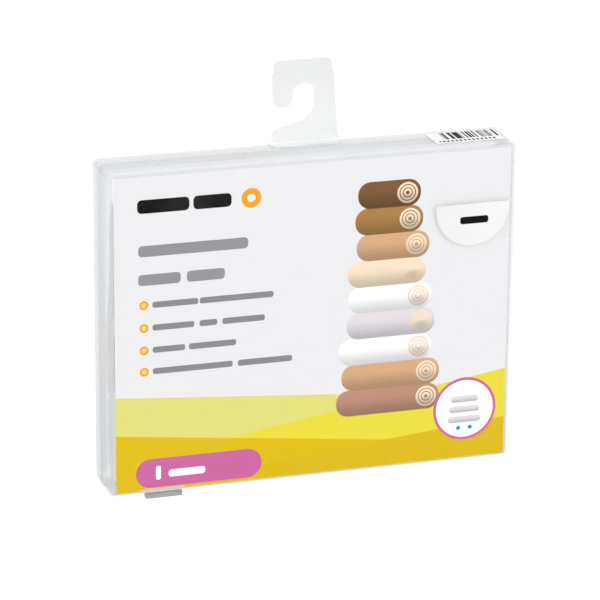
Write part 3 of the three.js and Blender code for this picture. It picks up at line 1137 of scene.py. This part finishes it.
@dataclass
class Studio:
    """Plain pale floor, soft light and the camera at the photograph's angle."""

    target: Spot = (-2.21 * MM, 1.28 * MM, 85.47 * MM)
    azimuth: float = math.radians(-17.659)
    elevation: float = math.radians(18.712)
    roll: float = math.radians(0.483)
    distance: float = 1650.3 * MM
    lens: float = 208.28
    floor_size: float = 14.0
    floor_drop: float = 175.0 * MM
    floor_lift: float = 0.16
    floor_tint: str = "FAFAFA"
    floor_roughness: float = 0.9
    floor_shine: float = 0.1
    sky_tint: str = "FBFBFC"
    sky_strength: float = 0.67
    sensor: float = 36.0
    nearest: float = 0.05
    softboxes: tuple[Softbox, ...] = (
        Softbox("top_softbox", (0.3, 0.5, 2.2), 1.8, 22.6),
        Softbox("front_softbox", (0.9, -1.8, 1.3), 1.2, 18.3),
        Softbox("left_softbox", (-1.7, -0.6, 0.7), 1.0, 10.0),
    )

    def camera(self) -> Object:
        """Makes the scene's camera and returns it."""
        data = bpy.data.cameras.new("camera")
        data.lens = self.lens
        data.sensor_width = self.sensor
        data.clip_start = self.nearest
        camera = bpy.data.objects.new("camera", data)
        bpy.context.scene.collection.objects.link(camera)
        back = Vector((
            math.sin(self.azimuth) * math.cos(self.elevation),
            -math.cos(self.azimuth) * math.cos(self.elevation),
            math.sin(self.elevation),
        ))
        right = (-back).cross(Vector((0.0, 0.0, 1.0))).normalized()
        up = right.cross(-back)
        rolled_right = right * math.cos(self.roll) + up * math.sin(self.roll)
        rolled_up = up * math.cos(self.roll) - right * math.sin(self.roll)
        turn = Matrix((rolled_right, rolled_up, back)).transposed().to_4x4()
        camera.matrix_world = Matrix.Translation(Vector(self.target) + back * self.distance) @ turn
        bpy.context.scene.camera = camera
        return camera

    def floor(self) -> Object:
        """Makes the pale floor, low enough for the opened lid to hang over it, and returns it."""
        shape = bmesh.new()
        bmesh.ops.create_grid(shape, x_segments=1, y_segments=1, size=self.floor_size / 2)
        bmesh.ops.translate(shape, vec=(0.0, 0.0, -self.floor_drop), verts=shape.verts)
        mesh = bpy.data.meshes.new("floor")
        shape.to_mesh(mesh)
        shape.free()
        material = bpy.data.materials.new("pale_floor")
        material.use_nodes = True
        surface = material.node_tree.nodes["Principled BSDF"]
        surface.inputs["Base Color"].default_value = linear(self.floor_tint)
        surface.inputs["Roughness"].default_value = self.floor_roughness
        surface.inputs["Specular IOR Level"].default_value = self.floor_shine
        surface.inputs["Emission Color"].default_value = linear("FFFFFF")
        tree = Tree(material.node_tree)
        seen = tree.add("ShaderNodeLightPath").outputs["Is Camera Ray"]
        tree.join(tree.math("MULTIPLY", seen, self.floor_lift), surface.inputs["Emission Strength"])
        mesh.materials.append(material)
        floor = bpy.data.objects.new("floor", mesh)
        bpy.context.scene.collection.objects.link(floor)
        return floor

    def light(self, box: Softbox) -> Object:
        """Makes a soft light that faces the part.

        Args:
            box: Its name, place and strength.

        Returns:
            The light.
        """
        data = bpy.data.lights.new(box.name, "AREA")
        data.size = box.side
        data.energy = box.watts
        light = bpy.data.objects.new(box.name, data)
        bpy.context.scene.collection.objects.link(light)
        light.location = box.place
        aim = Vector(self.target) - Vector(box.place)
        light.rotation_euler = aim.to_track_quat("-Z", "Y").to_euler()
        return light

    def build(self) -> None:
        """Makes the whole studio."""
        scene = bpy.context.scene
        scene.view_settings.view_transform = "Standard"
        world = bpy.data.worlds.new("studio")
        world.use_nodes = True
        sky = world.node_tree.nodes["Background"]
        sky.inputs["Color"].default_value = linear(self.sky_tint)
        sky.inputs["Strength"].default_value = self.sky_strength
        scene.world = world
        self.camera()
        self.floor()
        for box in self.softboxes:
            self.light(box)


def main() -> None:
    """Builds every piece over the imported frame."""
    logging.basicConfig(level=logging.INFO, format="%(message)s")
    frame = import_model()
    Studio().build()
    effects = Effects()
    shell = [ClearFace(effects).make(), FrostedWall(effects).make()]
    milky = MilkyPlastic(effects).make()
    moulded = (
        (MouldedPiece("tray", "tray_shell", Body.BOX, Slot.CLEAR, outward=1.0), shell),
        (MouldedPiece("lid", "lid_shell", Body.LID, Slot.CLEAR, outward=-1.0), shell),
        (MouldedPiece("hang_hook", "hook_strip", Body.BOX, Slot.MILKY), [milky]),
    )
    for part, finishes in moulded:
        piece = part.build(frame, finishes)
        LOG.info("%s: %d faces", piece.name, len(piece.data.polygons))
    web = LivingHinge().build(shell[1])
    LOG.info("%s: %d faces", web.name, len(web.data.polygons))
    band = FoldedBand().build(RibKnit(effects).make())
    LOG.info("%s: %d faces", band.name, len(band.data.polygons))
    word = (Mark(79.4, 123.0, 14.2, 3.6, 1.3, Ink.BLACK),)
    papers = {
        "card_insert": PrintedCard(effects),
        "round_label": LabelPaper(effects, "round_label_paper", word),
        "seal_label": LabelPaper(effects, "seal_label_paper", barred=True),
    }
    for node, finish in papers.items():
        sheet = frame["nodes"][node]
        sheet.data.materials.clear()
        sheet.data.materials.append(finish.make())
        LOG.info("%s: dressed", node)


if __name__ == "__main__":
    main()
